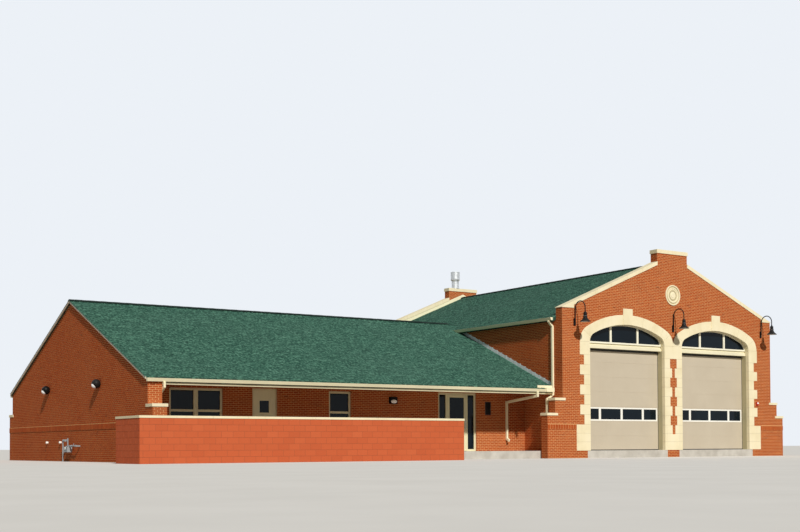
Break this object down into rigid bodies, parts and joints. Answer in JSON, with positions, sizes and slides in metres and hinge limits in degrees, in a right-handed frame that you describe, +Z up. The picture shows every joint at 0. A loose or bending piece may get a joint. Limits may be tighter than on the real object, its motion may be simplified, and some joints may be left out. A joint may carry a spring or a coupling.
{
  "type": "fire station building",
  "caption": "Gabled brick apparatus bay with arched overhead doors in cast stone, and a long low wing with a porch, shingle roofs and a screen wall.",
  "frame": {"origin": "centre of the base of the building's bounding box, at the lowest ground level", "axes": "+X along the front from the wing to the bay, +Y from the front to the back, +Z up"},
  "size_m": [31.999, 17.55, 9.765],
  "materials": {
    "brick": "orange-red face brick with light mortar joints",
    "cast_stone": "smooth cream cast stone",
    "concrete": "plain cast concrete",
    "screen_block": "orange-red ground-face masonry units",
    "shingles": "mottled green asphalt shingles",
    "door_panel": "tan painted steel",
    "white_frame": "white painted frames",
    "bronze_frame": "painted door and storefront frames",
    "glass": "dark tinted glass",
    "cream_trim": "cream painted trim and gutters",
    "lamp_bronze": "dark bronze enamel",
    "galvanised": "galvanised sheet"
  },
  "bodies": {
    "root": {"bay_door_window_strips": "white_frame", "bay_floor": "concrete", "bay_front_gable": "brick", "bay_glass": "glass", "bay_left_pier": "brick", "bay_left_wall": "brick", "bay_middle_pier": "brick", "bay_rear_wall": "brick", "bay_right_pier": "brick", "bay_right_wall": "brick", "bay_roof_left": "shingles", "bay_roof_right": "shingles", "belt_course": "brick", "buttress_caps": "cast_stone", "downspouts": "cream_trim", "eave_box": "cream_trim", "entry_frame": "bronze_frame", "entry_sidelights": "glass", "flue": "galvanised", "front_bay_doors": "door_panel", "front_coping": "cast_stone", "gas_meter": "galvanised", "gooseneck_lamps": "lamp_bronze", "gutters": "cream_trim", "left_door_surround": "cast_stone", "medallion": "cast_stone", "porch_beam": "cream_trim", "porch_ceiling": "cream_trim", "porch_corner_pier": "brick", "porch_door_frame": "bronze_frame", "porch_wall_east": "brick", "porch_wall_middle": "brick", "porch_wall_over_doors": "brick", "porch_wall_west": "brick", "rake_board": "cream_trim", "rear_bay_doors": "door_panel", "rear_coping": "cast_stone", "rear_door_lintels": "cast_stone", "ridge_caps": "shingles", "right_door_surround": "cast_stone", "roof_flashing": "galvanised", "screen_coping": "cast_stone", "screen_wall": "screen_block", "transom_frames": "white_frame", "wall_lights": "lamp_bronze", "wing_floor": "concrete", "wing_gable_wall": "brick", "wing_rear_pier": "brick", "wing_rear_wall": "brick", "wing_roof_front": "shingles", "wing_roof_rear": "shingles", "wing_roof_saddle": "shingles", "wing_window_frames": "white_frame", "wing_window_glass": "glass"},
    "entry_door_leaf": {"entry_door": "bronze_frame", "entry_door_glass": "glass"},
    "porch_door_leaf": {"porch_door": "door_panel", "porch_door_glass": "glass"}
  },
  "joints": [
    {"name": "entry_door_hinge", "type": "hinge", "parent": "root", "child": "entry_door_leaf", "pos_m": [-1.3145, -4.585, 0.305], "axis": [0, 0, -1], "range_deg": [0, 90]},
    {"name": "porch_door_hinge", "type": "hinge", "parent": "root", "child": "porch_door_leaf", "pos_m": [-9.9865, -4.585, 0.305], "axis": [0, 0, -1], "range_deg": [0, 90]}
  ]
}
